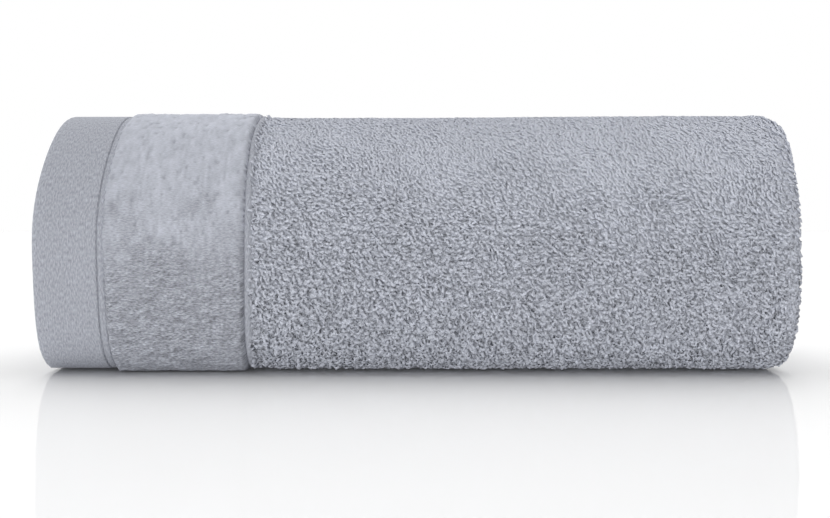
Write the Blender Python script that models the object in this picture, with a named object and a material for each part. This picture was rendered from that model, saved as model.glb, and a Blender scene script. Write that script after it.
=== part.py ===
"""A hand towel, folded into four layers and rolled up, as one solid.

Metres, +Z up. The roll lies along X on the floor plane z = 0. The two hems of
the cloth are at the -X end, two plain folds are at the +X end, and the loose
end of the roll lies on the floor at the back, towards +Y.

The cloth is 0.5 m wide and 1 m long. It is folded in half twice across its
length, which makes a stack 0.25 m long of four layers, and the stack is rolled
up along its 0.5 m. Seen from the outside, the layers of each turn are:
front (with the first hem), second (with the other hem), third and fourth.
"""

from math import cos, pi, radians, sin

import bmesh
import bpy
from mathutils import Vector

# The roll
ROLL_LENGTH = 0.252
OUTER_RADIUS = 0.0542       # of the loose end, measured from the winding's axis
TURN_PITCH = 0.0142         # four layers, and the slack to the next turn
AXIS_HEIGHT = 0.0429
LOOSE_END_ANGLE = radians(306)
TURNS = 3.0
STATIONS_PER_TURN = 30
STATION_SAMPLES = 360       # steps of one turn in which the bend is added up
BEND_FLOOR = 1.2            # how much a straight stretch counts when stations are placed
CORE_RADIUS = 0.0010        # the smallest radius that the innermost face takes

# How its own weight presses the lower half
LOWER_DEPTH = 0.885
LOWER_POWER = 4.5
CORNER_BLEND = 0.03         # how gently the flat underside runs out
CLIMB_START = 0.86          # part of a turn at which it starts to climb over the loose end

# Depth in the stack, as a share of the turn pitch from the outside in
FRONT_LAYER = (0.00, 0.22)
SECOND_LAYER = (0.25, 0.47)
THIRD_LAYER = (0.50, 0.72)
FOURTH_LAYER = (0.75, 0.96)
HEM_INSET = 0.025           # the woven hem is thinner than the looped body
BAND_RISE = 0.055           # and the sheared band a little thicker
GROOVE_INSET = 0.065        # stitching and the woven dividing line
HEM_BACK_INSET = 0.020      # the same on the cloth's other side

# Along the roll
HEM_EDGE = -0.5 * ROLL_LENGTH
HEM_WIDTH = 0.0212
STRIP_WIDTH = 0.0022        # plain weave between the stitching and the band
BAND_WIDTH = 0.0455
DIVIDER_WIDTH = 0.0026
EDGE_ROUND = 0.0008
INNER_HEM_BACK = 0.0020     # the other hem lies this far inside the first one
LEFT_FOLD_BACK = 0.0015     # and the fold between the third and fourth layers this far
FOLD_END = 0.5 * ROLL_LENGTH
OUTER_FOLD_DEPTH = 0.0075   # how far the round of each fold reaches along X
INNER_FOLD_DEPTH = 0.0042
FOLD_GAP = 0.0004
OUTER_FOLD_STEPS = 7
INNER_FOLD_STEPS = 5

# Small unevenness
INNER_TURN_INSET = 0.0030   # inner turns end this far inside the outer one
SWELL = 0.0004
FOLD_SWELL = 0.0004         # the folded end is a little fuller, the hemmed end slacker
EDGE_WAVE = 0.0005
END_SLANT = radians(5)      # the inner layers creep out at the loose end
END_SLANT_TURNS = 0.25      # the slant is gone this far into the winding
BAND_FLAT_TURN = 0.95       # from here inwards the band is pressed flat
BAND_FADE_TURNS = 0.25
PRESSED_SINE = -0.67        # below this sine of the angle nothing is uneven
LOOSE_SINE = 0.17           # and above this one it all shows
SHARP_ANGLE = radians(40)

TOWEL_COLOUR = (0.40, 0.42, 0.48, 1.0)
TOWEL_ROUGHNESS = 0.95


def smooth_step(value):
    """0 below 0, 1 above 1, and an even S between them."""
    value = min(max(value, 0.0), 1.0)
    return value * value * (3.0 - 2.0 * value)


def soft_min(first, second, blend):
    """The smaller of two values, rounded where they cross."""
    share = min(max(0.5 + 0.5 * (second - first) / blend, 0.0), 1.0)
    return second + (first - second) * share - blend * share * (1.0 - share)


def half_round(end_x, reach, first_depth, last_depth, steps):
    """The points of a fold's round, from one depth to the other; a minus reach looks to -X."""
    middle = 0.5 * (first_depth + last_depth)
    half = 0.5 * (first_depth - last_depth)
    points = []
    for step in range(steps + 1):
        turn = pi * step / steps
        points.append((end_x - reach + reach * sin(turn), middle + half * cos(turn)))
    return points


def front_face():
    """The face that shows, from the hem's edge to the looped body, as (x, depth) points."""
    stitch_x = HEM_EDGE + HEM_WIDTH
    band_start = stitch_x + STRIP_WIDTH
    band_end = band_start + BAND_WIDTH
    body_start = band_end + DIVIDER_WIDTH
    return [
        (HEM_EDGE + EDGE_ROUND, HEM_INSET),
        (stitch_x - EDGE_ROUND, HEM_INSET),
        (stitch_x, GROOVE_INSET),
        (stitch_x + EDGE_ROUND, HEM_INSET),
        (band_start, -BAND_RISE),
        (band_end, -BAND_RISE),
        (0.5 * (band_end + body_start), GROOVE_INSET),
        (body_start, FRONT_LAYER[0]),
    ]


def hem_end(edge_x, layer):
    """The underside and the edge of a hemmed end, from the cloth outwards."""
    top = layer[0] + HEM_INSET
    under = layer[1] - HEM_BACK_INSET
    return [
        (edge_x + HEM_WIDTH, under),
        (edge_x + EDGE_ROUND, under),
        (edge_x, 0.5 * (top + under)),
    ]


def folded_stack():
    """The stack cut across its layers, one closed back-and-forth outline of (x, depth)."""
    layer = (FRONT_LAYER[1] - FRONT_LAYER[0]) * TURN_PITCH
    inner_end = FOLD_END - layer - FOLD_GAP
    second_edge = HEM_EDGE + INNER_HEM_BACK
    left_fold = HEM_EDGE + LEFT_FOLD_BACK
    inner = INNER_FOLD_STEPS

    # One side of the cloth, from the first hem to the second
    outline = front_face()
    outline += half_round(FOLD_END, OUTER_FOLD_DEPTH, FRONT_LAYER[0], FOURTH_LAYER[1], OUTER_FOLD_STEPS)
    outline += half_round(left_fold, -INNER_FOLD_DEPTH, FOURTH_LAYER[1], THIRD_LAYER[0], inner)
    outline += [(inner_end - layer, THIRD_LAYER[0]), (inner_end - layer, SECOND_LAYER[1])]
    outline += hem_end(second_edge, SECOND_LAYER)

    # The other side, back to the first hem
    outline += [
        (second_edge + EDGE_ROUND, SECOND_LAYER[0] + HEM_INSET),
        (second_edge + HEM_WIDTH, SECOND_LAYER[0] + HEM_INSET),
        (second_edge + HEM_WIDTH + STRIP_WIDTH, SECOND_LAYER[0]),
    ]
    outline += half_round(inner_end, INNER_FOLD_DEPTH, SECOND_LAYER[0], THIRD_LAYER[1], inner)
    outline += [(left_fold + layer, THIRD_LAYER[1]), (left_fold + layer, FOURTH_LAYER[0])]
    inside_reach = OUTER_FOLD_DEPTH - layer
    outline += half_round(FOLD_END - layer, inside_reach, FOURTH_LAYER[0], FRONT_LAYER[1], inner)
    outline += hem_end(HEM_EDGE, FRONT_LAYER)
    return outline


def pressed(turns):
    """How far the roll is pressed in at this place of its winding; 1 where it is round."""
    part = turns % 1.0
    angle = LOOSE_END_ANGLE - 2.0 * pi * part
    down = -sin(angle)
    if down <= 0.0:
        return 1.0
    across = abs(cos(angle)) ** LOWER_POWER
    lower = (across + (down / LOWER_DEPTH) ** LOWER_POWER) ** (-1.0 / LOWER_POWER)
    if part < CLIMB_START:
        on_floor = AXIS_HEIGHT / down / (OUTER_RADIUS - TURN_PITCH * part)
        return soft_min(lower, on_floor, CORNER_BLEND)
    over_end = soft_min(lower, AXIS_HEIGHT / down / OUTER_RADIUS, CORNER_BLEND)
    return lower + (over_end - lower) * smooth_step((part - CLIMB_START) / (1.0 - CLIMB_START))


def wound_point(x, depth, turns):
    """Where a point of the stack lies once it is rolled up."""
    if depth < 0.0:
        # The band stands proud only on the turn that shows; further in it is pressed flat.
        depth *= smooth_step((BAND_FLAT_TURN - turns) / BAND_FADE_TURNS)
    else:
        turns -= END_SLANT / (2.0 * pi) * depth * smooth_step(1.0 - turns / END_SLANT_TURNS)
    angle = LOOSE_END_ANGLE - 2.0 * pi * turns
    outer = OUTER_RADIUS - TURN_PITCH * turns
    inner = max(outer - TURN_PITCH, CORE_RADIUS)
    radius = pressed(turns) * (outer + (inner - outer) * depth)

    # The unevenness grows towards the ends, and fades towards the floor.
    loose = smooth_step((sin(angle) - PRESSED_SINE) / (LOOSE_SINE - PRESSED_SINE))
    share = x / FOLD_END
    swell = (FOLD_SWELL + SWELL * sin(2.0 * angle)) * share
    radius *= 1.0 + loose * swell / OUTER_RADIUS

    inset = INNER_TURN_INSET * smooth_step(turns / TURNS)
    along = x * (1.0 - inset / FOLD_END) + EDGE_WAVE * sin(3.0 * angle + 1.0) * share
    height = max(AXIS_HEIGHT + radius * sin(angle), 0.0)
    return Vector((along, radius * cos(angle), height))


def station_parts():
    """The places of the stations in one turn, closer together where the outline bends more."""
    outline = []
    for sample in range(STATION_SAMPLES + 2):
        part = sample / STATION_SAMPLES
        angle = LOOSE_END_ANGLE - 2.0 * pi * part
        radius = pressed(part) * OUTER_RADIUS
        outline.append(Vector((radius * cos(angle), radius * sin(angle))))
    bend = [0.0]
    for before, here, after in zip(outline, outline[1:], outline[2:]):
        turn = (here - before).angle(after - here, 0.0)
        bend.append(bend[-1] + turn + BEND_FLOOR / STATION_SAMPLES)
    parts = []
    sample = 0
    for station in range(STATIONS_PER_TURN):
        wanted = bend[-1] * station / STATIONS_PER_TURN
        while bend[sample + 1] <= wanted:
            sample += 1
        within = (wanted - bend[sample]) / (bend[sample + 1] - bend[sample])
        parts.append((sample + within) / STATION_SAMPLES)
    return parts


def towel_mesh():
    """One ring of points for each station along the winding, joined and capped."""
    outline = folded_stack()
    parts = station_parts()
    bm = bmesh.new()
    rings = []
    for station in range(int(round(TURNS * STATIONS_PER_TURN)) + 1):
        turns = station // STATIONS_PER_TURN + parts[station % STATIONS_PER_TURN]
        rings.append([bm.verts.new(wound_point(x, depth, turns)) for x, depth in outline])
    for ring, following in zip(rings, rings[1:]):
        for index in range(len(outline)):
            after = (index + 1) % len(outline)
            bm.faces.new((ring[index], ring[after], following[after], following[index]))
    bm.faces.new(rings[0])
    bm.faces.new(rings[-1])
    bmesh.ops.recalc_face_normals(bm, faces=bm.faces)
    mesh = bpy.data.meshes.new("rolled_towel")
    bm.to_mesh(mesh)
    bm.free()
    return mesh


def cloth_material():
    material = bpy.data.materials.new("towel_terry")
    material.use_nodes = True
    shader = material.node_tree.nodes["Principled BSDF"]
    shader.inputs["Base Color"].default_value = TOWEL_COLOUR
    shader.inputs["Roughness"].default_value = TOWEL_ROUGHNESS
    shader.inputs["Metallic"].default_value = 0.0
    material.diffuse_color = TOWEL_COLOUR
    return material


def build_towel():
    collection = bpy.data.collections.new("rolled_hand_towel")
    bpy.context.scene.collection.children.link(collection)
    mesh = towel_mesh()
    mesh.shade_smooth()
    mesh.set_sharp_from_angle(angle=SHARP_ANGLE)
    mesh.materials.append(cloth_material())
    towel = bpy.data.objects.new("rolled_towel", mesh)
    collection.objects.link(towel)

    # The winding is wider at the front than at the back, so its middle is found here.
    sides = [vertex.co.y for vertex in mesh.vertices]
    towel.location.y = -0.5 * (min(sides) + max(sides))
    return towel


for old in list(bpy.data.objects):
    bpy.data.objects.remove(old, do_unlink=True)

build_towel()
bpy.context.view_layer.update()
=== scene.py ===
# %% [markdown]
# A hand towel that is folded in four layers and rolled up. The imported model
# gives the plain solid of the roll, and this lesson dresses it: the woven
# cloth with its hems, the sheared band, the terry loops and the stitches.

from math import cos, pi, radians, sin

import bpy
import numpy as np
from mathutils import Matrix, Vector


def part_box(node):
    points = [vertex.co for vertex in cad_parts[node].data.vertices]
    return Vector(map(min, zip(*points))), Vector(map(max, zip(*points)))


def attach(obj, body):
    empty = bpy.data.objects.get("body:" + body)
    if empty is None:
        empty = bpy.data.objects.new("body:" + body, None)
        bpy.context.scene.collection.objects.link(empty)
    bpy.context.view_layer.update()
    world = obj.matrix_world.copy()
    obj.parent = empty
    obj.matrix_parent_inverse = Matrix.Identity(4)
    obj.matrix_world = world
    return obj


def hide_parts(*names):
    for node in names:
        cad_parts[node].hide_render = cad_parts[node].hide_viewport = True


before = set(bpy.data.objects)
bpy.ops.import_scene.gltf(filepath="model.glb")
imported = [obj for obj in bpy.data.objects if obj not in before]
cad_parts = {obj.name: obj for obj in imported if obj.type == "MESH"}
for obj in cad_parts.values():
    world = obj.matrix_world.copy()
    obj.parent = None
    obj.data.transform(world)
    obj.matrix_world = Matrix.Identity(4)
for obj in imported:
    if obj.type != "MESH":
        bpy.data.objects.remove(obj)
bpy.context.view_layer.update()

# %% [markdown]
# A real towel is laid flat, folded and then rolled, and it is easiest to make
# in the same order. Every piece is laid out in three flat measures: x along
# the roll, the depth below the outside of a turn, and how many turns it lies
# from the loose end. One function then winds all of it up. A curve modifier
# could bend a flat mesh too, but a formula keeps every piece exactly on the
# same winding, which is a spiral that loses one stack of four layers each turn.
# These are the sizes that shaped the solid.

# %% The sizes of the winding
HALF_LENGTH = 0.126
OUTER_RADIUS = 0.0542
TURN_PITCH = 0.0142
AXIS_HEIGHT = 0.0429
LOOSE_END_ANGLE = radians(306)
TURNS = 3.0
CORE_RADIUS = 0.0010

LOWER_DEPTH = 0.885
LOWER_POWER = 4.5
CORNER_BLEND = 0.03
CLIMB_START = 0.86

INNER_TURN_INSET = 0.0030
SWELL = 0.0004
FOLD_SWELL = 0.0004
EDGE_WAVE = 0.0005
END_SLANT = radians(5)
END_SLANT_TURNS = 0.25
PRESSED_SINE, LOOSE_SINE = -0.67, 0.17
print("turns:", TURNS, "of a stack of four layers, mm:", round(1000 * TURN_PITCH, 1))

# %% [markdown]
# The roll is not round. Its own weight presses it flat where it lies, and the
# outer turn climbs over the loose end that is tucked below it. So the round
# spiral is given a squarer lower half, which the floor cuts off level. Two small
# helpers blend the shapes into each other without a kink.

# %% Pressed flat underneath
def ease(value):
    """0 below 0, 1 above 1, and an even S between them."""
    value = np.clip(value, 0.0, 1.0)
    return value * value * (3.0 - 2.0 * value)


def soft_min(first, second, blend):
    """The smaller of two values, rounded where they cross."""
    share = np.clip(0.5 + 0.5 * (second - first) / blend, 0.0, 1.0)
    return second + (first - second) * share - blend * share * (1.0 - share)


def pressed(turns):
    """How far the roll is pressed in at this place of its winding; 1 where it is round."""
    part = np.mod(turns, 1.0)
    angle = LOOSE_END_ANGLE - 2.0 * pi * part
    down = np.maximum(-np.sin(angle), 1e-6)
    across = np.abs(np.cos(angle)) ** LOWER_POWER
    lower = (across + (down / LOWER_DEPTH) ** LOWER_POWER) ** (-1.0 / LOWER_POWER)
    floor_level = AXIS_HEIGHT / down
    on_floor = soft_min(lower, floor_level / (OUTER_RADIUS - TURN_PITCH * part), CORNER_BLEND)
    over_end = soft_min(lower, floor_level / OUTER_RADIUS, CORNER_BLEND)
    climb = ease((part - CLIMB_START) / (1.0 - CLIMB_START))
    below = np.where(part < CLIMB_START, on_floor, lower + (over_end - lower) * climb)
    return np.where(np.sin(angle) >= 0.0, 1.0, below)


BOTTOM_TURNS = 0.1
print("the bottom lies at this share of the radius:", np.round(pressed(BOTTOM_TURNS), 3))

# %% [markdown]
# Now the winding itself. The ends of a towel that is rolled by hand never come
# out even, so each turn swells, waves and steps in a little, as in the solid.
# The two ends also drift: the hemmed end bulges out between its four corners,
# and the folded end runs long at the top and short at the bottom.

# %% Wind it up
HEM_END_BULGE = 0.0017
FOLD_END_LONG, FOLD_END_SHORT = 0.0026, 0.0016


def end_drift(x, angle):
    """How far the two ends wander along the roll."""
    up = np.sin(angle)
    hem_end = HEM_END_BULGE * np.sin(2.0 * angle) ** 2
    fold_end = FOLD_END_LONG * ease((up - 0.45) / 0.55) - FOLD_END_SHORT * ease((-up - 0.25) / 0.5)
    return hem_end * ease((-x - 0.045) / 0.075) + fold_end * ease((x - 0.05) / 0.07)


def wind(x, depth, turns, shift=0.0):
    """Winds flat measures up into the roll; all are arrays, in metres and turns."""
    share = depth / TURN_PITCH
    slant = END_SLANT / (2.0 * pi) * ease(1.0 - turns / END_SLANT_TURNS)
    turns = turns - slant * np.maximum(share, 0.0)
    angle = LOOSE_END_ANGLE - 2.0 * pi * turns
    outer = OUTER_RADIUS - TURN_PITCH * turns
    inner = np.maximum(outer - TURN_PITCH, CORE_RADIUS)
    radius = pressed(turns) * (outer + (inner - outer) * share)

    loose = ease((np.sin(angle) - PRESSED_SINE) / (LOOSE_SINE - PRESSED_SINE))
    side = x / HALF_LENGTH
    swell = (FOLD_SWELL + SWELL * np.sin(2.0 * angle)) * side
    radius = radius * (1.0 + loose * swell / OUTER_RADIUS)

    inset = INNER_TURN_INSET * ease(turns / TURNS)
    along = x * (1.0 - inset / HALF_LENGTH) + EDGE_WAVE * np.sin(3.0 * angle + 1.0) * side
    along = along + end_drift(x, angle)
    height = np.maximum(AXIS_HEIGHT + radius * np.sin(angle), 0.0)
    return np.stack([along, radius * np.cos(angle) + shift, height], axis=-1)


once_round = np.linspace(0.0, 1.0, 721)
front_edge = wind(0.0 * once_round, 0.0 * once_round, once_round)[:, 1].min()
node_low, node_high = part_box("rolled_towel")
AXIS_Y = node_low[1] - front_edge
print("solid's depth, mm:", round(1000 * (node_high[1] - node_low[1]), 1))
print("the winding's axis lies at y mm:", round(1000 * AXIS_Y, 2))

# %% [markdown]
# The camera stands where the photograph was taken from: in front of the roll,
# just above the floor, with a slightly long lens. The focal length was measured
# in pixels of the photograph, and is turned into millimetres of a 36 mm sensor.

# %% Camera
EYE_PLACE = (-0.0015, -0.3515, 0.0482)
EYE_TILT = radians(1.85)
PHOTO_WIDTH = 830
FOCUS_PIXELS = 951
SENSOR_WIDTH = 36.0

lens_data = bpy.data.cameras.new("photo_camera")
lens_data.sensor_width = SENSOR_WIDTH
lens_data.lens = SENSOR_WIDTH * FOCUS_PIXELS / PHOTO_WIDTH
lens_data.clip_start = 0.01
camera = bpy.data.objects.new("photo_camera", lens_data)
bpy.context.scene.collection.objects.link(camera)
camera.location = EYE_PLACE
camera.rotation_euler = (radians(90) - EYE_TILT, 0.0, 0.0)
bpy.context.scene.camera = camera
print("lens mm:", round(lens_data.lens, 2), "eye at", [round(v, 3) for v in camera.location])

# %% [markdown]
# The towel needs tens of thousands of small parts. Made one by one with
# operators they would take many minutes, so each mesh is filled from arrays in
# one go. The helper also hangs on what the finishes need: a UV map to bake to,
# a UV map of the place on the flat cloth in metres, and two numbers at every
# point, tone and loose.

# %% A mesh from arrays
def grid_faces(rows, columns):
    """The quads of a grid of rows x columns points."""
    first = np.arange(rows - 1)[:, None] * columns + np.arange(columns - 1)[None, :]
    corner = first.ravel()
    return np.stack([corner, corner + 1, corner + columns + 1, corner + columns], axis=1)


def mesh_piece(name, points, quads, maps, painted_light_tones, material, loose=None):
    """A smooth mesh object from arrays; maps holds a UV array for each map's name."""
    mesh = bpy.data.meshes.new(name)
    mesh.vertices.add(len(points))
    mesh.vertices.foreach_set("co", points.astype(np.float32).ravel())
    mesh.loops.add(quads.size)
    mesh.loops.foreach_set("vertex_index", quads.astype(np.int32).ravel())
    mesh.polygons.add(len(quads))
    mesh.polygons.foreach_set("loop_start", np.arange(0, quads.size, 4, dtype=np.int32))
    mesh.update(calc_edges=True)
    for map_name, corners in maps.items():
        layer = mesh.uv_layers.new(name=map_name)
        layer.data.foreach_set("uv", corners.astype(np.float32).ravel())
    loose = np.ones(len(points)) if loose is None else loose
    for number_name, numbers in (("tone", painted_light_tones), ("loose", loose)):
        number = mesh.attributes.new(number_name, "FLOAT", "POINT")
        number.data.foreach_set("value", np.asarray(numbers, dtype=np.float32))
    mesh.shade_smooth()
    mesh.materials.append(material)
    piece = bpy.data.objects.new(name, mesh)
    bpy.context.scene.collection.objects.link(piece)
    return piece


print("faces of a grid of 3 x 4 points:", len(grid_faces(3, 4)))

# %% [markdown]
# The towel lies on a wide white floor with a thin gloss over it, so that a
# faint mirror image shows below the roll. A second, mirrored towel could fake
# that, but a clear coat on the floor gives it in every view.
#
# Each material is a tree of nodes. One helper feeds a node's sockets: a plain
# value is set on the socket itself, and another node's output is linked to it.

# %% The floor
FLOOR_HALF = 12.0


def feed(tree, node, inputs):
    """Sets or links a node's inputs, which are values or outputs of other nodes."""
    for name, value in inputs.items():
        if isinstance(value, bpy.types.NodeSocket):
            tree.links.new(value, node.inputs[name])
        else:
            node.inputs[name].default_value = value
    return node


def new_material(name, inputs):
    """A material whose Principled shader has these values."""
    material = bpy.data.materials.new(name)
    material.use_nodes = True
    feed(material.node_tree, material.node_tree.nodes["Principled BSDF"], inputs)
    return material


glossy = new_material("white_gloss", {
    "Base Color": (0.92, 0.92, 0.92, 1.0),
    "Roughness": 0.9,
    "Specular IOR Level": 0.0,
    "Coat Weight": 0.5,
    "Coat Roughness": 0.01,
})
corners = np.array([(-1, -1, 0), (1, -1, 0), (-1, 1, 0), (1, 1, 0)]) * FLOOR_HALF
floor = mesh_piece("white_floor", corners, grid_faces(2, 2), {}, np.ones(4), glossy)
print("floor, m:", 2 * FLOOR_HALF)

# %% [markdown]
# A wide lamp at the front keeps the lower half of the towel from going dull. It
# stands so low that it lights the towel and hardly the floor.

# %% The lamp
lamp = bpy.data.lights.new("lamp_low_front", "AREA")
lamp.shape = "RECTANGLE"
lamp.size, lamp.size_y = 3.6, 0.22
lamp.energy = 92.0
lamp_stand = bpy.data.objects.new("lamp_low_front", lamp)
bpy.context.scene.collection.objects.link(lamp_stand)
lamp_stand.location = (-0.7, -3.6, 0.13)
aim = Vector((0.0, 0.0, 0.04)) - lamp_stand.location
lamp_stand.rotation_euler = aim.to_track_quat("-Z", "Y").to_euler()
print("lamp, W:", lamp.energy)

# %% [markdown]
# The room is plain white to look at, but the light that it gives comes mostly
# from above and a little behind. That light makes the small shadows in the pile
# and the dark line where the roll touches the floor. A Light Path node splits
# the two jobs: only rays of diffuse light see the uneven sky.

# %% The room
HORIZON_LIGHT, OVERHEAD_LIGHT, OVERHEAD_NARROW = 0.16, 3.0, 4.0
OVERHEAD_LEAN = radians(25)


def add_node(tree, kind, inputs=None, **settings):
    """A new node with its settings and its inputs."""
    node = tree.nodes.new(kind)
    for name, value in settings.items():
        setattr(node, name, value)
    return feed(tree, node, inputs or {})


room = bpy.data.worlds.new("white_room")
room.use_nodes = True
sky = room.node_tree
place = add_node(sky, "ShaderNodeTexCoord").outputs["Generated"]
overhead = (0.0, sin(OVERHEAD_LEAN), cos(OVERHEAD_LEAN))
toward = add_node(sky, "ShaderNodeVectorMath", {0: place, 1: overhead}, operation="DOT_PRODUCT")
narrowed = add_node(sky, "ShaderNodeMath", {0: toward.outputs["Value"], 1: OVERHEAD_NARROW},
                    operation="POWER", use_clamp=True)
light = add_node(sky, "ShaderNodeMath", {
    0: narrowed.outputs["Value"], 1: OVERHEAD_LIGHT, 2: HORIZON_LIGHT,
}, operation="MULTIPLY_ADD")
diffuse = add_node(sky, "ShaderNodeLightPath").outputs["Is Diffuse Ray"]
seen = add_node(sky, "ShaderNodeMix", {"Factor": diffuse, "A": 1.0, "B": light.outputs["Value"]})
feed(sky, sky.nodes["Background"], {
    "Color": (1.0, 1.0, 1.0, 1.0), "Strength": seen.outputs["Result"],
})
bpy.context.scene.world = room
bpy.context.scene.view_settings.view_transform = "Standard"
print("light of the room:", HORIZON_LIGHT, "level and", HORIZON_LIGHT + OVERHEAD_LIGHT, "overhead")

# %% [markdown]
# All of the towel is one dyed cotton yarn, so one node group gives every
# finish its tone. It takes the dye, works it darker and lighter with a coarse
# cloud of wear and a fine grain of fibres, and gives the grain back as a
# height for the bump. A painted image could do the same, but it goes soft close
# by, and noise nodes stay sharp at any distance.
#
# The group also reads the two numbers of each point. Tone carries painted light
# and shade: it is low in crevices, in the dip of the stitching, at the roots of
# the pile and on the lines between its tufts, as painted shade, and high where
# the pile is stroked flat and along the round edge of the hem, as painted
# highlight. It also holds each loop's own random tone. Loose is low where the
# yarn is stroked smooth, and calms the grain.

# %% One yarn for every finish
YARN_INPUTS = {
    "Place": "Vector", "Tone": "Float", "Loose": "Float", "Dye And Light": "Color",
    "Grain Scale": "Float", "Grain Amount": "Float",
    "Cloud Scale": "Float", "Cloud Amount": "Float",
}
YARN_OUTPUTS = {"Colour": "Color", "Height": "Float"}


def yarn_tone_group():
    tree = bpy.data.node_groups.new("yarn_tone", "ShaderNodeTree")
    for way, sockets in (("INPUT", YARN_INPUTS), ("OUTPUT", YARN_OUTPUTS)):
        for name, kind in sockets.items():
            tree.interface.new_socket(name=name, in_out=way, socket_type="NodeSocket" + kind)
    given = add_node(tree, "NodeGroupInput").outputs

    def step(operation, first, second):
        math = add_node(tree, "ShaderNodeMath", {0: first, 1: second}, operation=operation)
        return math.outputs[0]

    def noise(scale_name, detail):
        made = add_node(tree, "ShaderNodeTexNoise", {
            "Vector": given["Place"], "Scale": given[scale_name], "Detail": detail,
        })
        return step("SUBTRACT", made.outputs["Fac"], 0.5)

    grain = step("MULTIPLY", noise("Grain Scale", 3.0), given["Loose"])
    wear = noise("Cloud Scale", 2.0)
    share = given["Tone"]
    for part, amount in ((grain, "Grain Amount"), (wear, "Cloud Amount")):
        worked = step("MULTIPLY", part, given[amount])
        share = step("MULTIPLY", share, step("ADD", worked, 1.0))
    toned = add_node(tree, "ShaderNodeVectorMath", {0: given["Dye And Light"], "Scale": share},
                     operation="SCALE")
    add_node(tree, "NodeGroupOutput", {"Colour": toned.outputs["Vector"], "Height": grain})
    return tree


YARN_TONE = yarn_tone_group()
print("node group:", YARN_TONE.name, "with", len(YARN_TONE.nodes), "nodes")

# %% [markdown]
# A finish is one Principled shader with that group in front of it. Short fibres
# catch light at their tips, which is what Sheen is for. The noise is laid over
# the flat cloth, so it turns with every fold and never slides, and it is
# stretched to run with the yarns. Values that are the same all over a surface
# are set on the shader itself.

# %% A cloth finish
DYE = (0.335, 0.348, 0.389)
SHEEN_TINT = (0.88, 0.90, 1.0, 1.0)


def cloth_finish(name, dye_and_light_share, stretch, grain, wear, bump, sheen):
    """Grain and wear are (scale, amount), bump is (strength, distance)."""
    material = new_material(name, {
        "Roughness": 0.92,
        "Specular IOR Level": 0.2,
        "Sheen Weight": sheen,
        "Sheen Roughness": 0.5,
        "Sheen Tint": SHEEN_TINT,
    })
    tree = material.node_tree
    place = add_node(tree, "ShaderNodeUVMap", uv_map="flat_cloth").outputs["UV"]
    pulled = add_node(tree, "ShaderNodeVectorMath", {0: place, 1: stretch}, operation="MULTIPLY")
    tone, loose = [
        add_node(tree, "ShaderNodeAttribute", attribute_name=number_name).outputs["Fac"]
        for number_name in ("tone", "loose")
    ]
    yarn = add_node(tree, "ShaderNodeGroup", {
        "Place": pulled.outputs["Vector"], "Tone": tone, "Loose": loose,
        "Dye And Light": (*[dye_and_light_share * part for part in DYE], 1.0),
        "Grain Scale": grain[0], "Grain Amount": grain[1],
        "Cloud Scale": wear[0], "Cloud Amount": wear[1],
    }, node_tree=YARN_TONE)
    raised = add_node(tree, "ShaderNodeBump", {
        "Strength": bump[0], "Distance": bump[1], "Height": yarn.outputs["Height"],
    })
    feed(tree, tree.nodes["Principled BSDF"], {
        "Base Color": yarn.outputs["Colour"], "Normal": raised.outputs["Normal"],
    })
    return material


print("dye:", DYE)

# %% [markdown]
# Five finishes come out of it. The hems are a flat weave with fine threads. The
# ground weave between the loops is looser, and it is painted lighter than the
# dye, as painted light that lifts the shade in the gaps between the loops. The
# nap of the band is the softest. The yarn of the loops is twisted, so its grain
# is strong, and it too is painted lighter than the dye, as painted light for
# what deep pile swallows between its loops. Last is the sewing thread.

# %% The five finishes
FINISHES = {
    # name: (share of the dye and painted light, stretch of the noise, grain, wear, bump, sheen)
    "hem_weave": (1.0, (1.0, 0.38, 1.0), (2300.0, 1.3), (90.0, 0.08), (0.5, 0.0004), 0.1),
    # ground weave and terry yarn take more than the dye: painted light that lifts the shade
    # between the loops
    "ground_weave": (1.35, (1.0, 1.0, 1.0), (900.0, 2.2), (60.0, 0.05), (1.0, 0.0012), 0.1),
    "sheared_nap": (1.0, (0.34, 1.0, 1.0), (2600.0, 2.4), (70.0, 0.12), (1.0, 0.0005), 0.2),
    "terry_yarn": (1.44, (1.0, 0.5, 1.0), (2600.0, 1.8), (45.0, 0.14), (0.8, 0.0003), 0.2),
    "stitch_thread": (0.9, (1.0, 1.0, 1.0), (1500.0, 0.3), (60.0, 0.0), (0.3, 0.0001), 0.1),
}
hem_weave, ground_weave, sheared_nap, terry_yarn, stitch_thread = [
    cloth_finish(name, *values) for name, values in FINISHES.items()
]
print("finishes:", list(FINISHES))

# %% [markdown]
# The cloth itself is one sheet, half a metre wide and a metre long. Down the
# middle of its thickness runs a path: along the front layer, round the outer
# fold, back through the fourth layer, round the fold at the hemmed end, and so
# on to the second hem. These are the depths of the four layers, and the widths
# of the hem, the plain strip, the sheared band and the woven dividing line.

# %% Sizes of the cloth
FRONT, SECOND, THIRD, FOURTH = 0.0016, 0.0051, 0.0087, 0.0121
HEM_WIDTH = 0.0212
STRIP_WIDTH = 0.0022
BAND_WIDTH = 0.0455
DIVIDER_WIDTH = 0.0026
SECOND_HEM_BACK = 0.0020
HEM_EDGE = -HALF_LENGTH
STITCH_X = HEM_EDGE + HEM_WIDTH
BAND_START = STITCH_X + STRIP_WIDTH
BAND_END = BAND_START + BAND_WIDTH
BODY_START = BAND_END + DIVIDER_WIDTH

OUTER_FOLD = dict(end=0.1244, reach=0.0059)
INNER_FOLD = dict(end=0.1209, reach=0.0026)
LEFT_FOLD = dict(end=-0.1229, reach=-0.0026)
print("the looped body starts at x mm:", round(1000 * BODY_START, 1))

# %% [markdown]
# A mesh could have its points at even steps, but then it is too fine in the
# plain runs and too coarse at the edges. So points are set close together only
# where the cloth does something: at its rounded edges, in the dip of the
# stitching, beside the band, and round the folds. The folds are squarer than
# the solid's, as thick terry is when it is folded.

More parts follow.
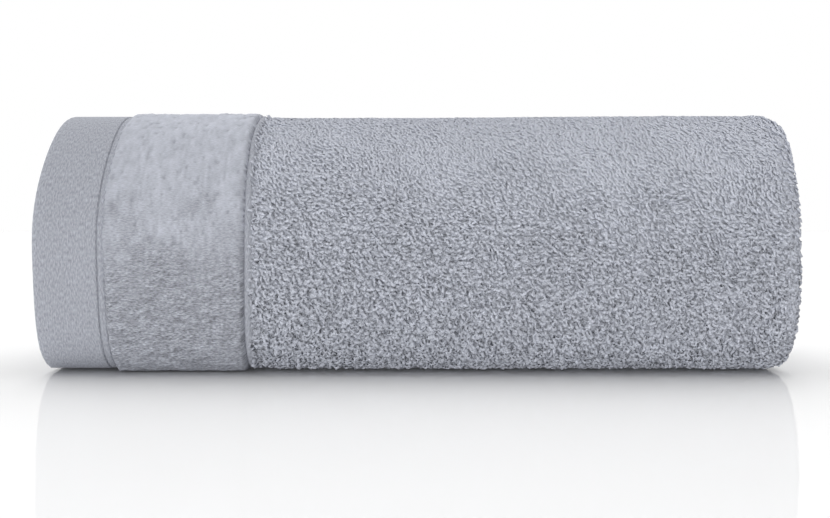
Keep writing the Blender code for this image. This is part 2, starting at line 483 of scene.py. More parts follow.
# %% Runs and folds of the path
EDGE_STEPS = np.array([0.0, 0.05, 0.2, 0.45, 0.8, 1.2, 2.0]) * 1e-3
STITCH_STEPS = np.array([-0.9, -0.45, -0.25, -0.1, 0.0, 0.1, 0.25, 0.45, 0.9]) * 1e-3
STRIP_STEPS = np.array([-0.3, 0.0, 0.3]) * 1e-3
DIVIDER_STEPS = np.array([-0.6, 0.0, 0.3, 0.6, 1.2, 2.0, 2.6, 3.2]) * 1e-3
FOLD_STEPS = 12
FOLD_ROUND_X, FOLD_ROUND_DEPTH = 0.58, 0.72


def fold_points(fold, first_depth, last_depth):
    """A rounded square end from one depth to the other, round the end of the stack."""
    turn = np.linspace(0.0, pi, FOLD_STEPS + 1)
    middle, half = 0.5 * (first_depth + last_depth), 0.5 * (first_depth - last_depth)
    x = fold["end"] - fold["reach"] + fold["reach"] * np.sin(turn) ** FOLD_ROUND_X
    up = np.cos(turn)
    depth = middle + half * np.sign(up) * np.abs(up) ** FOLD_ROUND_DEPTH
    return np.stack([x, depth], axis=1)


def level(x, depth):
    return np.stack([x, np.full(len(x), depth)], axis=1)


def straight(start_x, end_x, depth, step=0.012):
    """The points between two ends, without the ends."""
    count = max(int(abs(end_x - start_x) / step), 1) + 1
    return level(np.linspace(start_x, end_x, count), depth)[1:-1]


print("points round a fold:", FOLD_STEPS + 1)

# %% [markdown]
# Now the runs are joined, from the first hem to the second. Beside each point
# goes its distance along the path and the way out of the cloth, so that later
# pieces can ask for any place between them.

# %% The path of the cloth through its folds
def cloth_path():
    """Points (x, depth) down the middle of the cloth, from the first hem to the second."""
    second_edge = HEM_EDGE + SECOND_HEM_BACK
    second_stitch = second_edge + HEM_WIDTH
    outer = fold_points(OUTER_FOLD, FRONT, FOURTH)
    left = fold_points(LEFT_FOLD, FOURTH, THIRD)
    inner = fold_points(INNER_FOLD, THIRD, SECOND)
    return np.concatenate([
        level(HEM_EDGE + EDGE_STEPS, FRONT),
        straight(HEM_EDGE + EDGE_STEPS[-1], STITCH_X + STITCH_STEPS[0], FRONT, 0.004),
        level(STITCH_X + STITCH_STEPS, FRONT),
        level(BAND_START + STRIP_STEPS, FRONT),
        straight(BAND_START + STRIP_STEPS[-1], BAND_END + DIVIDER_STEPS[0], FRONT),
        level(BAND_END + DIVIDER_STEPS, FRONT),
        straight(BAND_END + DIVIDER_STEPS[-1], outer[0, 0], FRONT),
        outer,
        straight(outer[-1, 0], left[0, 0], FOURTH, 0.03),
        left,
        straight(left[-1, 0], inner[0, 0], THIRD, 0.03),
        inner,
        straight(inner[-1, 0], second_stitch, SECOND, 0.03),
        [(second_stitch + 0.001, SECOND), (second_stitch - 0.001, SECOND)],
        straight(second_stitch - 0.001, second_edge + EDGE_STEPS[-1], SECOND, 0.006),
        level(second_edge + EDGE_STEPS[::-1], SECOND),
    ])


PATH = cloth_path()
path_steps = np.diff(PATH, axis=0)
PATH_AT = np.concatenate([[0.0], np.cumsum(np.hypot(path_steps[:, 0], path_steps[:, 1]))])
headings = np.gradient(PATH, axis=0)
headings /= np.hypot(headings[:, 0], headings[:, 1])[:, None]
PATH_OUT = np.stack([headings[:, 1], -headings[:, 0]], axis=1)
print("path of the cloth, mm:", round(1000 * PATH_AT[-1]), "points:", len(PATH))

# %% [markdown]
# Both faces of the sheet are laid off from that path. They lie close together
# in the ground weave, and part where the hem is turned over, with a round edge.
# The stitching pulls a narrow dip into the hem, and the woven line between the
# band and the loops stands up as a small rib.

# %% How thick the cloth is
GROUND_FACE, GROUND_BACK = 0.0001, 0.0006
HEM_HALF, SECOND_HEM_HALF, STRIP_HALF = 0.0012, 0.0011, 0.0010
STITCH_DIP, STRIP_DIP = 0.0004, 0.0002
RIB_RISE = 0.0009


def rounded(away, width):
    """The share of its full height that a round edge has at a distance inside it."""
    near = np.clip(away / width, 0.0, 1.0)
    return np.sqrt(1.0 - (1.0 - near) ** 2)


def with_second_hem(at, half):
    """The same half thickness, but that of the second hem at the end of the path."""
    last = PATH_AT[-1] - at
    second = SECOND_HEM_HALF * rounded(last, SECOND_HEM_HALF)
    return np.where(last < HEM_WIDTH, second, half)


def dip(x, middle, half_width, deep):
    return deep * ease(1.0 - np.abs(x - middle) / half_width)


def front_half(at):
    """How far the face that shows lies above the middle of the cloth."""
    x = at + HEM_EDGE
    half = np.where(x < STITCH_X, HEM_HALF * rounded(at, HEM_HALF), STRIP_HALF)
    half = half - dip(x, STITCH_X, 0.00035, STITCH_DIP) - dip(x, BAND_START, 0.0003, STRIP_DIP)
    rib = RIB_RISE * ease((x - BAND_END - 0.0001) / 0.0004) * ease((BODY_START - x) / 0.0006)
    return with_second_hem(at, np.where(x > BAND_START + 0.0001, GROUND_FACE + rib, half))


def back_half(at):
    """How far its back lies behind the middle."""
    hem = HEM_HALF * rounded(at, HEM_HALF)
    return with_second_hem(at, np.where(at < HEM_WIDTH, hem, GROUND_BACK))


print("hem thickness, mm:", 2000 * HEM_HALF)

# %% [markdown]
# Everything from here on is placed with one function. It takes a place along
# the cloth, a height above its middle and a number of turns, and gives the
# point in the rolled towel. It adds what the plain solid leaves out: the loose
# edge wanders, the two lower corners of the roll curl up off the floor, and the
# roll stands about a millimetre taller, most of all at its folded end.

# %% A point of the towel
CORNER_LIFT = 0.0005
PLUMP, FOLD_PLUMP = 1.012, 0.005
LOOSE_EDGE_TURNS = 0.07
CREST_TURNS = 0.6


def off_floor(place):
    """How far the two lower corners of the roll curl up off the floor."""
    sideways = np.abs(place[..., 1] - AXIS_Y)
    return CORNER_LIFT * ease((sideways - 0.0250) / 0.0050) * ease(1.0 - place[..., 2] / 0.012)


def loose_wave(at):
    """How the loose edge wanders, in turns: a pulled edge is never quite straight."""
    return 0.0022 * np.sin(at / 0.019 + 0.6) + 0.0013 * np.sin(at / 0.0071 + 2.0)


def off_cloth(at, above, turns, side=1.0):
    """A point of the towel; side is 1 above the cloth's face and -1 behind its back."""
    measures = (*PATH.T, *PATH_OUT.T)
    x, depth, out_x, out_depth = [np.interp(at, PATH_AT, measure) for measure in measures]
    reach = side * above
    turns = turns + loose_wave(at) * ease(1.0 - turns / LOOSE_EDGE_TURNS)
    place = wind(x + reach * out_x, depth + reach * out_depth, turns, AXIS_Y)
    plump = PLUMP + FOLD_PLUMP * ease(place[..., 0] / 0.08)
    place[..., 2] = plump * (place[..., 2] + off_floor(place))
    return place


crest = off_cloth(HALF_LENGTH, FRONT, CREST_TURNS)
print("the crest of the roll lies at mm:", [round(1000 * float(part), 1) for part in crest])

# %% [markdown]
# Across its width the cloth is measured by how far one walks round the winding
# from the loose end. Two tables turn that walk into turns: one down the middle
# of the stack of layers, which gives the width of the cloth, and one round the
# outside, where the pile is. The rows of the cloth then lie at even steps of
# the walk, but closer together where it is wound tighter.

# %% Walking round the winding
ROW_STEP = 0.0034
ROW_TURN = 7.0 / 360.0
WALK_SAMPLES = 1441
SIDE_STEPS = 1e-3 * np.array(
    [0, 0.05, 0.2, 0.45, 0.8, 1.2, 2.0, 4.0, 6.5, 6.8, 7.0, 7.2, 7.5, 7.9, 8.5]
)


def around_table(depth):
    """The distance walked round the winding at a depth, in metres, and the turns it takes."""
    turns = np.linspace(0.0, TURNS, WALK_SAMPLES)
    walk = wind(0.0 * turns, np.full(WALK_SAMPLES, depth), turns)
    walked = np.linalg.norm(np.diff(walk, axis=0), axis=1)
    return np.concatenate([[0.0], np.cumsum(walked)]), turns


MIDDLE_WALK, MIDDLE_TURNS = around_table(0.5 * TURN_PITCH)
OUTER_WALK, OUTER_TURNS = around_table(0.0)
CLOTH_WIDTH = MIDDLE_WALK[-1]


def cloth_rows():
    """Where the rows of the cloth lie in the winding, in turns."""
    by_length = np.gradient(MIDDLE_WALK) / ROW_STEP
    by_turn = np.gradient(MIDDLE_TURNS) / ROW_TURN
    count = np.concatenate([[0.0], np.cumsum(np.maximum(by_length, by_turn)[1:])])
    even = np.interp(np.linspace(0.0, count[-1], int(count[-1])), count, MIDDLE_TURNS)
    first = np.interp(SIDE_STEPS, MIDDLE_WALK, MIDDLE_TURNS)
    last = np.interp(CLOTH_WIDTH - SIDE_STEPS[::-1], MIDDLE_WALK, MIDDLE_TURNS)
    between = even[(even > first[-1] + 0.004) & (even < last[0] - 0.004)]
    return np.concatenate([first, between, last])


print("width of the cloth, mm:", round(1000 * CLOTH_WIDTH), "rows:", len(cloth_rows()))

# %% [markdown]
# Both sides of the towel have a narrow hem, which shows along the loose end and
# in the eye of the roll. A fold of its own could be laid for it, but a seam that
# is sewn flat shows only as a thicker edge, so the thickness alone makes it.

# %% The side hems
SIDE_HEM = 0.0085
SIDE_HALF = 0.0009
SIDE_STITCH = 0.0070
SIDE_DIP = 0.0003


def side_hem(walk):
    """The half thickness of the side hems, and how their edge is rounded."""
    from_edge = np.minimum(walk, CLOTH_WIDTH - walk)
    half = SIDE_HALF * ease((SIDE_HEM - from_edge) / 0.0006)
    half = half - dip(from_edge, SIDE_STITCH, 0.0003, SIDE_DIP)
    return half, rounded(from_edge, SIDE_HALF)


print("side hem, mm:", 1000 * SIDE_HEM, "wide and", 2000 * SIDE_HALF, "thick")

# %% [markdown]
# The woven cloth is a grid of those rows and the points of the path, once for
# its face and once for its back. The two share the points of their border, so
# the sheet is closed. A cloth simulation could roll a towel up as well, but it
# would take minutes, and the layers would never settle as evenly as a folded
# towel's do. Hems and dividing line get the flat weave, and all the rest gets
# the ground weave that the loops grow from.

# %% The woven cloth
def closed_sheet(rows, columns):
    """Quads of a face and a back with one border, and which back points are the back's own."""
    face_quads = grid_faces(rows, columns)
    row, column = np.divmod(np.arange(rows * columns), columns)
    border = (row == 0) | (row == rows - 1) | (column == 0) | (column == columns - 1)
    own = np.cumsum(~border) - 1 + rows * columns
    to_back = np.where(border, np.arange(rows * columns), own)
    return face_quads, to_back[face_quads[:, ::-1]], ~border


def cloth_maps(at, walk, face_quads):
    """The place of every corner on the flat cloth, and two charts to bake to."""
    flat = np.stack([at, walk], axis=-1).reshape(-1, 2)
    corners = flat[np.concatenate([face_quads, face_quads[:, ::-1]]).ravel()]
    baked = corners / np.array([PATH_AT[-1], CLOTH_WIDTH]) * np.array([0.98, 0.47]) + 0.01
    baked[4 * len(face_quads):, 1] += 0.5
    return {"OFBake": baked, "flat_cloth": corners}


def woven_cloth():
    at, turns = np.meshgrid(PATH_AT, cloth_rows())
    walk = np.interp(turns, MIDDLE_TURNS, MIDDLE_WALK)
    side, edge = side_hem(walk)
    face = off_cloth(at, np.maximum(front_half(at), side) * edge, turns)
    back = off_cloth(at, np.maximum(back_half(at), side) * edge, turns, side=-1.0)
    face_quads, back_quads, own_back = closed_sheet(*at.shape)
    points = np.concatenate([face.reshape(-1, 3), back.reshape(-1, 3)[own_back]])

    x = at + HEM_EDGE
    # Painted highlight along the round edge of the hem, and painted shade in the dip of the
    # stitching and at the foot of the rib beside the band.
    edge_highlight = 0.07 * ease(1.0 - at / 0.0025)
    groove_shade = dip(x, STITCH_X, 0.0004, 0.15) + dip(x, BAND_END, 0.0006, 0.2)
    painted_light_tones = np.concatenate([(1.0 + edge_highlight - groove_shade).ravel(), np.ones(own_back.sum())])
    maps = cloth_maps(at, walk, face_quads)
    quads = np.concatenate([face_quads, back_quads])
    piece = mesh_piece("woven_cloth", points, quads, maps, painted_light_tones, ground_weave)
    piece.data.materials.append(hem_weave)

    middle = maps["flat_cloth"].reshape(-1, 4, 2).mean(axis=1)
    from_last = PATH_AT[-1] - middle[:, 0]
    end_hem = (middle[:, 0] < BODY_START - HEM_EDGE) | (from_last < HEM_WIDTH)
    at_side = np.minimum(middle[:, 1], CLOTH_WIDTH - middle[:, 1]) < SIDE_HEM
    piece.data.polygons.foreach_set("material_index", (end_hem | at_side).astype(np.int32))
    return piece


cloth = woven_cloth()
print("woven cloth faces:", len(cloth.data.polygons))

# %% [markdown]
# Noise for shapes. A cloud of random heights on a coarse grid, smoothly
# blended, is enough to make a nap uneven, and stretched in one direction it
# becomes strokes. The random numbers are seeded, so every run is the same.

# %% A cloud of heights
TABLE_SIZE = 256


def cloud(first, second, cell, seed):
    """Smooth random heights, -1 to 1, over two measures; cell is the size of a lump in each."""
    table = np.random.default_rng(seed).uniform(-1.0, 1.0, (TABLE_SIZE, TABLE_SIZE))
    a, b = first / cell[0], second / cell[1]
    low_a, low_b = np.floor(a).astype(int), np.floor(b).astype(int)
    part_a, part_b = ease(a - low_a), ease(b - low_b)

    def height(step_a, step_b):
        return table[(low_a + step_a) % TABLE_SIZE, (low_b + step_b) % TABLE_SIZE]

    near = height(0, 0) * (1 - part_a) + height(1, 0) * part_a
    far = height(0, 1) * (1 - part_a) + height(1, 1) * part_a
    return near * (1 - part_b) + far * part_b


print("a cloud at four places:", np.round(cloud(np.arange(4) / 2, np.zeros(4), (1, 1), 1), 2))

# %% [markdown]
# A towel that is rolled by hand gets its pile stroked flat over the top, and
# the pile stands open lower down, where nobody has smoothed it. Flat pile is
# smooth, and it is painted paler, a painted highlight; open pile is painted
# darker, with painted shade at its roots. This measure is 0 where the pile is
# stroked flat and 1 where it stands open. The loops begin to open higher up
# than the sheared band does.

# %% How far the pile stands open
BAND_OPENS, LOOPS_OPEN = (0.72, 0.28), (1.0, 0.35)


def pile_opened(x, walk, turns, flat_above, open_below):
    """From 0 to 1; flat_above and open_below are shares of the roll's height."""
    height_share = wind(x * 0.0, x * 0.0, turns)[..., 2] / (2.0 * AXIS_HEIGHT)
    wander = 0.10 * cloud(x, walk, (0.012, 0.010), 3) + 0.05 * cloud(x, walk, (0.004, 0.004), 4)
    return ease((flat_above - height_share + wander) / (flat_above - open_below))


ends = np.array([CREST_TURNS, BOTTOM_TURNS])
print("band open at crest and bottom:", pile_opened(0.0 * ends, 0.0 * ends, ends, *BAND_OPENS))

# %% [markdown]
# The loops of the sheared band are cut off level, so it is a low velvet, and
# its nap has been stroked about. High on the roll the nap lies smooth and
# light, with a few small dark flecks. Lower down it falls open in short level
# ripples with darker roots between them. An image could be painted for it, but
# sums of clouds fit the winding by themselves.

# %% The nap of the band
RIPPLE, FINE_RIPPLE = (0.0022, 0.00045), (0.0014, 0.00034)


def nap_height(x, walk, turns):
    """The relief of the nap, -1 to 1 or so, and how far it has fallen open, 0 to 1."""
    opened = pile_opened(x, walk, turns, *BAND_OPENS)
    bend = walk + 0.0007 * cloud(x, walk, (0.0040, 0.0030), 9)
    ripple = 0.7 * cloud(x, bend, RIPPLE, 11) + 0.7 * cloud(x, bend, FINE_RIPPLE, 12)
    slant = cloud(x + 0.8 * walk, walk - 0.8 * x, (0.0026, 0.00060), 13)
    flecks = ease((cloud(x, walk, (0.0007, 0.0020), 14) - 0.45) / 0.4)
    smooth = 0.8 * cloud(x, walk, (0.0010, 0.0030), 16) - 1.1 * flecks
    return opened * (0.8 * ripple + 0.5 * slant) + (1.0 - opened) * smooth, opened


print("a ripple of the open nap, mm:", [round(1000 * side, 2) for side in RIPPLE])

# %% [markdown]
# Fur could be grown for the band, but cut pile this short reads as one surface.
# So a fine grid is raised by the relief, and the same relief sets its tone: its
# valleys and flecks are painted darker, as painted shade, and its crests
# lighter, as painted highlight. The nap that lies smooth high on the roll is
# painted lighter all over, a painted highlight for the light that flat nap gives
# back. The band has soft shoulders at both sides, and its edges are a little
# ragged.

# %% The sheared band
BAND_RISE = 0.0008
BAND_FLAT_TURN, BAND_FADE_TURNS = 0.95, 0.25
BAND_TURNS = 1.02
BAND_FIRST_WALK = SIDE_HEM + 0.0002
BAND_STEP_ALONG, BAND_STEP_AROUND = 0.00085, 0.00034
SHOULDER = 0.0016
STROKED_OVER = 0.0006


def band_grid():
    """The flat places of the band's points: along the roll, and round it."""
    last_walk = np.interp(BAND_TURNS, OUTER_TURNS, OUTER_WALK)
    columns = int(BAND_WIDTH / BAND_STEP_ALONG)
    rows = int((last_walk - BAND_FIRST_WALK) / BAND_STEP_AROUND)
    x = np.linspace(BAND_START + 0.0001, BAND_END + 0.0001, columns)
    return np.meshgrid(x, np.linspace(BAND_FIRST_WALK, last_walk, rows))


def sheared_band():
    x, walk = band_grid()
    turns = np.interp(walk, OUTER_WALK, OUTER_TURNS)
    relief, opened = nap_height(x, walk, turns)
    lumps = cloud(x, walk, (0.007, 0.007), 15)
    proud = BAND_RISE * ease((BAND_FLAT_TURN - turns) / BAND_FADE_TURNS)
    full = FRONT - GROUND_FACE + proud - 0.00030 + 0.00032 * relief + 0.00018 * lumps
    inside = np.minimum(x - BAND_START, BAND_END - x)
    above = full * rounded(inside, SHOULDER) * rounded(walk - BAND_FIRST_WALK, SHOULDER)

    stroked = x - STROKED_OVER * (1.0 - opened) * ease(1.0 - (x - BAND_START) / 0.008)
    ragged = (0.00022 + 0.00030 * (1.0 - opened)) * cloud(x, walk, (0.0010, 0.0009), 17)
    stroked = stroked + ragged * ease(1.0 - inside / 0.0012)
    points = off_cloth(stroked - HEM_EDGE, GROUND_FACE + above, turns).reshape(-1, 3)
    # Painted light and shade: smooth nap painted lighter, relief crests lighter and valleys
    # darker.
    painted_light_tones = 0.95 + 0.30 * (1.0 - opened) ** 2 + 0.38 * relief * (0.5 + 0.5 * opened)
    quads = grid_faces(*x.shape)
    flat = np.stack([x - HEM_EDGE, walk], axis=-1).reshape(-1, 2)[quads.ravel()]
    low, high = flat.min(axis=0), flat.max(axis=0)
    maps = {"OFBake": 0.01 + 0.98 * (flat - low) / (high - low), "flat_cloth": flat}
    loose = (0.25 + 0.75 * opened).ravel()
    return mesh_piece("sheared_band", points, quads, maps, painted_light_tones.ravel(), sheared_nap, loose)


band = sheared_band()
print("sheared band faces:", len(band.data.polygons))

# %% [markdown]
# Terry. Each loop is a short length of soft yarn that leaves the ground weave,
# curls into a small open ring, and comes back down. Hair would be quick to set
# up, but it leaves no mesh behind when the towel is exported. So each loop is a
# real tube, and about thirty thousand of them are made as arrays.
#
# First comes the middle line of each loop, with its own size, curl, bearing and
# tilt. Over the top, where the pile is stroked flat, the rings are wide and low
# and lean the same way. In the open pile they hang down and turn as they like.

# %% The middle lines of the loops
LOOP_TAU = np.array([0.0, 0.2, 0.5, 0.8, 1.0])
RING_SPAN = (0.60, 0.92)
RING_SIZE = (0.00040, 0.00080)
RING_STAND = (0.35, 0.60)
LEG_SHARE, ROOT_SINK = 0.22, 0.0002


def loop_lines(at, walk, turns, opened, tall, rng):
    """The line of each loop in the flat (along the cloth, round it, above it), and its axle."""
    count = len(at)
    opened = opened[:, None]
    stroked = 0.5 + 0.5 * cloud(at, walk, (0.008, 0.008), 41)[:, None]
    backward = np.cos(LOOSE_END_ANGLE - 2.0 * pi * turns)[:, None]
    droop = pi * ease(0.5 - 0.8 * backward)

    def spread(low, high):
        return rng.uniform(low, high, count)[:, None]

    tau = LOOP_TAU[None, :]
    around = 2.0 * pi * spread(*RING_SPAN) * (tau - 0.5) + 0.5 * pi
    size = spread(*RING_SIZE)
    lean = 1.05 * (0.8 * opened - 1.0)
    swirl = (0.7 - 0.3 * opened) * cloud(at, walk, (0.010, 0.010), 42)[:, None]
    bearing = droop + lean + swirl + (0.4 + 0.4 * opened + 0.3 * stroked) * spread(-1.0, 1.0)
    freedom = (0.35 + 0.65 * stroked) * (0.4 + 0.6 * opened)
    tilt = radians(12) + freedom * spread(0.0, radians(70))
    wide = 1.0 + 0.30 * opened + (1.0 - opened) * spread(0.1, 0.5)
    out_u = size * wide * np.cos(around)
    out_v = size * (2.0 - wide) * (np.sin(around) + 0.6)

    leg = ease(np.minimum(tau, 1.0 - tau) / LEG_SHARE)
    plan_v = out_v * np.cos(tilt)
    along = out_u * np.cos(bearing) - plan_v * np.sin(bearing)
    across = out_u * np.sin(bearing) + plan_v * np.cos(bearing)
    above = tall[:, None] * leg * spread(*RING_STAND)
    above = above + np.maximum(out_v, 0.0) * np.sin(tilt) - ROOT_SINK * (1.0 - leg)
    axle = [np.sin(tilt) * np.sin(bearing), -np.sin(tilt) * np.cos(bearing), np.cos(tilt)]
    return np.stack([along, across, above], axis=-1), np.concatenate(axle, axis=1)


print("points on the line of a loop:", len(LOOP_TAU))

# %% [markdown]
# Then the tube round each line. Three sides and four lengths are enough for a
# yarn that is a millimetre thick, and with smooth shading it looks round. One
# of the three sides always faces outward from the ring, so the tube never
# twists. The corners of one loop are listed once, and used again for them all.

# %% Tubes of yarn
YARN_HALF = 0.00058
LOOP_SIDES = 3
RINGS = len(LOOP_TAU)


def tube_faces(lengths, sides):
    """The ring and the side of each quad's corners along a tube, and the points they are."""
    corners = np.array([
        [(length, side), (length, side + 1), (length + 1, side + 1), (length + 1, side)]
        for length in range(lengths) for side in range(sides)
    ])
    return corners, corners[..., 0] * sides + corners[..., 1] % sides


def tube_points(lines, axles, half):
    """Three points round every point of every line, one of them on the outside of the ring."""
    heading = np.gradient(lines, axis=1)
    heading /= np.linalg.norm(heading, axis=-1, keepdims=True)
    outward = np.cross(heading, axles[:, None, :])
    outward /= np.linalg.norm(outward, axis=-1, keepdims=True)
    other = np.cross(heading, outward)
    ring = 2.0 * pi * np.arange(LOOP_SIDES) / LOOP_SIDES
    around = np.cos(ring)[:, None] * outward[:, :, None, :]
    around = around + np.sin(ring)[:, None] * other[:, :, None, :]
    return lines[:, :, None, :] + half[:, None, None, None] * around


print("points of a loop:", RINGS * LOOP_SIDES)

# %% [markdown]
# Loops crowd together into tufts, with thin dark lines between them. A slanting
# grid over the flat cloth has one random point in each cell, and each place
# belongs to the tuft of its nearest point. Where the second nearest is just as
# near, the place lies on a line between tufts, and loops are lower there and
# painted darker, as painted shade in the line.

# %% Tufts
TUFT = (0.0031, 0.0019)
TUFT_LEAN = radians(20)
TUFT_LINE = 0.28


def tuft_share(at, walk):
    """0 on the lines between two tufts of the pile, and about 1 in the middle of a tuft."""
    middle = np.random.default_rng(61).uniform(0.1, 0.9, (2, TABLE_SIZE, TABLE_SIZE))
    a = (at * cos(TUFT_LEAN) - walk * sin(TUFT_LEAN)) / TUFT[0]
    b = (at * sin(TUFT_LEAN) + walk * cos(TUFT_LEAN)) / TUFT[1]
    cell_a, cell_b = np.floor(a).astype(int), np.floor(b).astype(int)
    nearest, second = np.full(a.shape, 9.0), np.full(a.shape, 9.0)
    for step_a, step_b in [(i, j) for i in (-1, 0, 1) for j in (-1, 0, 1)]:
        row, column = cell_a + step_a, cell_b + step_b
        in_table = (row % TABLE_SIZE, column % TABLE_SIZE)
        away = np.hypot(row + middle[0][in_table] - a, column + middle[1][in_table] - b)
        second = np.minimum(second, np.maximum(nearest, away))
        nearest = np.minimum(nearest, away)
    return ease((second - nearest) / TUFT_LINE) * (1.0 - 0.3 * nearest ** 2)


print("a tuft, mm:", [round(1000 * side, 1) for side in TUFT])

# %% [markdown]
# Here the three parts come together. Loops that are stroked flat are pressed
# low, and so are those beside the band, which stand more open. Each loop has its
# own random tone. Its roots and the lines between tufts are painted darker, as
# painted shade, and more so in the open pile; the open pile is painted darker
# all over and the flat pile lighter, as painted shade and painted highlight.
# For the bake, every loop gets a small square of its own in the UV map.

# %% One array of terry loops
LOOP_CORNERS, LOOP_QUADS = tube_faces(RINGS - 1, LOOP_SIDES)


def square_for_each(count, share, margin):
    """A square of the UV map for each of many small parts, filled by their own 0 to 1."""
    across = int(np.ceil(np.sqrt(count)))
    corner = np.stack(np.divmod(np.arange(count), across)[::-1], axis=-1)
    filled = corner[:, None, None, :] + margin + (1.0 - 2.0 * margin) * share[None]
    return filled.reshape(-1, 2) / across


def loop_maps(at, walk):
    """A square for each loop to bake to, and grain that runs along each loop's yarn."""
    share = LOOP_CORNERS / np.array([RINGS - 1, LOOP_SIDES])
    along_yarn, round_yarn = share[..., 0], share[..., 1]
    flat = np.stack([
        at[:, None, None] + 0.0040 * along_yarn + 0.0022 * round_yarn,
        walk[:, None, None] - 0.0040 * along_yarn + 0.0022 * round_yarn,
    ], axis=-1).reshape(-1, 2)
    return {"OFBake": square_for_each(len(at), share, 0.06), "flat_cloth": flat}


def terry_loops(name, at, walk, table, tall, seed, squash, flatten):
    """Loops rooted at places of the cloth: at along it, walk round it by a walk table."""
    count = len(at)
    rng = np.random.default_rng(seed)
    root_turns = np.interp(walk, *table)
    tall = tall * (1.0 + 0.10 * cloud(at, walk, (0.006, 0.006), 43))
    beside_band = ease(1.0 - (at + HEM_EDGE - BODY_START) / 0.007)
    flat_share = 1.0 - pile_opened(at, walk, root_turns, *LOOPS_OPEN)
    opened = 1.0 - flat_share * (1.0 - 0.45 * beside_band)
    lines, axles = loop_lines(at, walk, root_turns, opened, tall, rng)
    yarn_half = YARN_HALF * (0.78 + 0.22 * opened) * rng.uniform(0.85, 1.15, count)
    tube = tube_points(lines, axles, yarn_half)

    here_at = at[:, None, None] + tube[..., 0]
    here_walk = walk[:, None, None] + tube[..., 1]
    lifted = tube[..., 2]
    opened, beside_band = opened[:, None, None], beside_band[:, None, None]
    tuft = tuft_share(here_at, here_walk)
    upright = squash * (1.0 - flatten * (1.0 - opened) ** 2) * (1.0 - 0.35 * beside_band)
    upright = upright * (1.0 - (0.25 + 0.45 * opened) * (1.0 - tuft))
    face = np.interp(here_at, PATH_AT, front_half(PATH_AT))
    points = off_cloth(here_at, face + upright * lifted, np.interp(here_walk, *table))

    own = 1.0 + (0.5 + 0.5 * opened) * rng.uniform(-0.05, 0.05, count)[:, None, None]
    # Painted shade: roots and lines between tufts painted darker, more so in the open pile; the
    # flat pile is painted lighter and the open pile darker overall.
    root_shade = (0.02 + 0.28 * opened) * (np.clip(lifted / 0.0016, 0.0, 1.0) - 0.6)
    tuft_shade = (0.05 + 0.30 * opened) * (tuft - 0.62)
    painted_light_tones = own * (1.12 - 0.22 * opened + root_shade + tuft_shade)
    loose = np.broadcast_to(0.4 + 0.6 * opened, painted_light_tones.shape)
    quads = np.arange(count)[:, None, None] * RINGS * LOOP_SIDES + LOOP_QUADS
    return mesh_piece(name, points.reshape(-1, 3), quads.reshape(-1, 4), loop_maps(at, walk),
                      painted_light_tones.ravel(), terry_yarn, loose.ravel())


print("faces of a loop:", len(LOOP_QUADS))

# %% [markdown]
# The roots of the loops are woven in rows, but a pile hides its rows, so here
# every other row is shifted by half a step and each root is moved at random.
# The body is covered in patches that run round the roll. The loops are closest
# where light rakes over the flat pile, and few and low under the roll, where
# the floor hides them. Turns that lie inside the roll get no loops at all.

# %% Loops over the body
ROW_SHARE, ROOT_JITTER = 0.93, 0.42
LOOP_PITCH, UPPER_PITCH, UNDER_PITCH = 0.00146, 0.00136, 0.0024
LOOP_TALL = 0.00145
UNDER_TURNS, PILE_TURNS = 0.19, 1.03
FIRST_LOOP_WALK = SIDE_HEM + 0.0008
OUTER_FOLD_START = OUTER_FOLD["end"] - OUTER_FOLD["reach"] - HEM_EDGE
BODY = (BODY_START - HEM_EDGE + 0.0003, OUTER_FOLD_START)
piled = []


def scattered(start, end, walk_start, walk_end, pitch, seed):
    """Loop roots in jittered rows over a patch of the cloth."""
    rng = np.random.default_rng(seed)
    step = ROW_SHARE * pitch
    a, b = np.meshgrid(np.arange(start, end, step), np.arange(walk_start, walk_end, step))
    a = a + 0.5 * step * (np.arange(a.shape[0]) % 2)[:, None]
    a = a + rng.uniform(-ROOT_JITTER, ROOT_JITTER, a.shape) * step
    b = b + rng.uniform(-ROOT_JITTER, ROOT_JITTER, b.shape) * step
    return a.ravel(), b.ravel()


def pile_patch(name, along, around, table, pitch, tall, seed, squash=1.0, flatten=0.58):
    """Loops over a patch that reaches from start to end along the cloth and round it."""
    at, walk = scattered(*along, *around, pitch, seed)
    piece = terry_loops(name, at, walk, table, tall, seed + 50, squash, flatten)
    piled.append(piece)
    print(name, "loops:", len(at), "triangles:", 2 * len(piece.data.polygons))


outer_table = (OUTER_WALK, OUTER_TURNS)
under_end = np.interp(UNDER_TURNS, OUTER_TURNS, OUTER_WALK)
pile_end = np.interp(PILE_TURNS, OUTER_TURNS, OUTER_WALK)
pile_patch("loops_underside", BODY, (FIRST_LOOP_WALK, under_end), outer_table,
           UNDER_PITCH, LOOP_TALL, 21, squash=0.5)
patch_ends = np.linspace(under_end, pile_end, 5)
for index, around in enumerate(zip(patch_ends, patch_ends[1:])):
    pitch = UPPER_PITCH if index in (1, 2) else LOOP_PITCH
    pile_patch(f"loops_body_{index + 1}", BODY, around, outer_table, pitch, LOOP_TALL, 22 + index)

# %% [markdown]
# At the folded end the pile goes round the outer fold of every turn, and at the
# hemmed end it shows on the fold between the third and fourth layers. These
# loops are rooted on the same path, further along, and the walk round each fold
# is measured at its own depth.

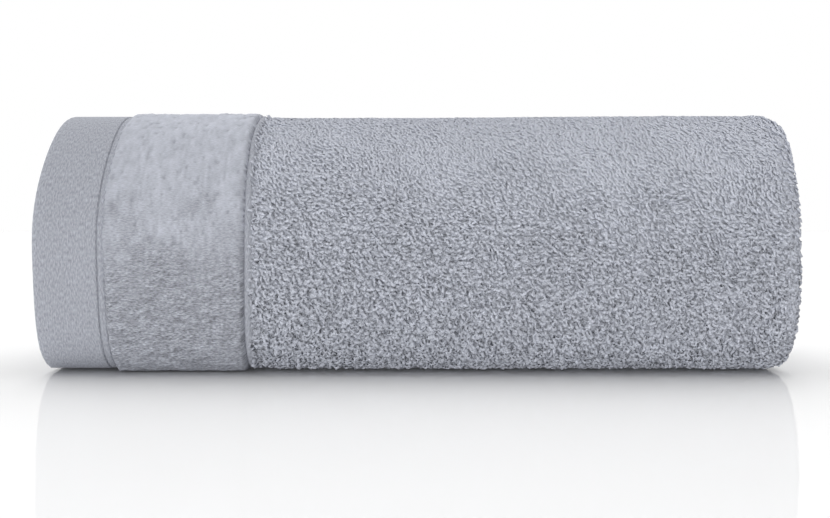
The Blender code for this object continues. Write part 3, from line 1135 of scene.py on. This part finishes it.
# %% Loops round the folds
round_outer = np.flatnonzero(PATH[:, 0] > OUTER_FOLD["end"] - OUTER_FOLD["reach"] - 1e-6)
outer_fold = (OUTER_FOLD_START, PATH_AT[round_outer[len(round_outer) // 2]] + 0.003)
round_left = np.flatnonzero((PATH[:, 0] < LEFT_FOLD["end"] + 0.0027) & (PATH[:, 1] > THIRD - 1e-6))
left_fold = PATH_AT[round_left[[0, -1]]]
for name, along, depth, pitch, tall, seed in (
    ("loops_right_folds", outer_fold, 0.0040, 0.0021, 0.0012, 31),
    ("loops_left_folds", left_fold, 0.0104, 0.0019, 0.0008, 32),
):
    table = around_table(depth)
    around = (FIRST_LOOP_WALK, table[0][-1] - FIRST_LOOP_WALK)
    pile_patch(name, along, around, table, pitch, tall, seed, squash=0.8, flatten=0.0)

# %% [markdown]
# The hem is turned over twice and sewn down with one row of lock stitches, and
# the narrow side hem has a row of its own along the loose end. Each stitch is a
# short thread that dives into the cloth at both ends. A bump would be flat from
# the side, so the threads are small tubes, laid out like the loops.

# %% Stitches
STITCH_PITCH = 0.0030
STITCH_HALF = 0.00016
STITCH_SHARE = (0.08, 0.84)
STITCH_SINK, STITCH_RISE = 0.00025, 0.0004
STITCH_LENGTHS, STITCH_SIDES = 6, 6
STITCH_CORNERS, STITCH_QUADS = tube_faces(STITCH_LENGTHS, STITCH_SIDES)


def stitch_row(name, starts, across_cloth, line, face):
    """A row of threads: starts lie along the row, line is where it lies the other way."""
    tau = np.linspace(0.0, 1.0, STITCH_LENGTHS + 1)[None, :, None]
    ring = 2.0 * pi * np.arange(STITCH_SIDES) / STITCH_SIDES
    run = starts[:, None, None] + (STITCH_SHARE[0] + STITCH_SHARE[1] * tau) * STITCH_PITCH
    aside = line + STITCH_HALF * np.cos(ring)
    above = face - STITCH_SINK + STITCH_RISE * np.sin(pi * tau) ** 0.6
    above = above + STITCH_HALF * np.sin(ring)
    run, aside, above = np.broadcast_arrays(run, aside, above)
    at, walk = (run, aside) if across_cloth else (aside, run)
    points = off_cloth(at, above, np.interp(walk, OUTER_WALK, OUTER_TURNS)).reshape(-1, 3)
    each = (STITCH_LENGTHS + 1) * STITCH_SIDES
    quads = (np.arange(len(starts))[:, None, None] * each + STITCH_QUADS).reshape(-1, 4)

    share = STITCH_CORNERS / np.array([STITCH_LENGTHS, STITCH_SIDES])
    flat = starts[:, None, None, None] + np.array([0.003, 0.001]) * share[None]
    maps = {"OFBake": square_for_each(len(starts), share, 0.05), "flat_cloth": flat.reshape(-1, 2)}
    return mesh_piece(name, points, quads, maps, np.ones(len(points)), stitch_thread)


last_start = np.interp(1.0, OUTER_TURNS, OUTER_WALK) - STITCH_PITCH
hem_starts = np.arange(0.002, last_start, STITCH_PITCH)
stitch_at = STITCH_X - HEM_EDGE
stitch_face = np.interp(stitch_at, PATH_AT, front_half(PATH_AT))
hem_stitches = stitch_row("hem_stitches", hem_starts, False, stitch_at, stitch_face)
side_starts = np.arange(HEM_WIDTH + 0.001, OUTER_FOLD_START, STITCH_PITCH)
side_stitches = stitch_row(
    "side_stitches", side_starts, True, SIDE_STITCH, SIDE_HALF - SIDE_DIP
)
print("stitches:", len(hem_starts), "down the hem and", len(side_starts), "down the side")

# %% [markdown]
# Every piece rides on the one body. The woven cloth stands for the solid roll,
# which is hidden, with the band, the loops and the stitches as the pieces that
# go with it.

# %% Attach the pieces and hide the solid
pieces = [cloth, band, hem_stitches, side_stitches, *piled]
for piece in pieces:
    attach(piece, "root")
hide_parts("rolled_towel")
print("triangles in all:", sum(2 * len(piece.data.polygons) for piece in pieces))
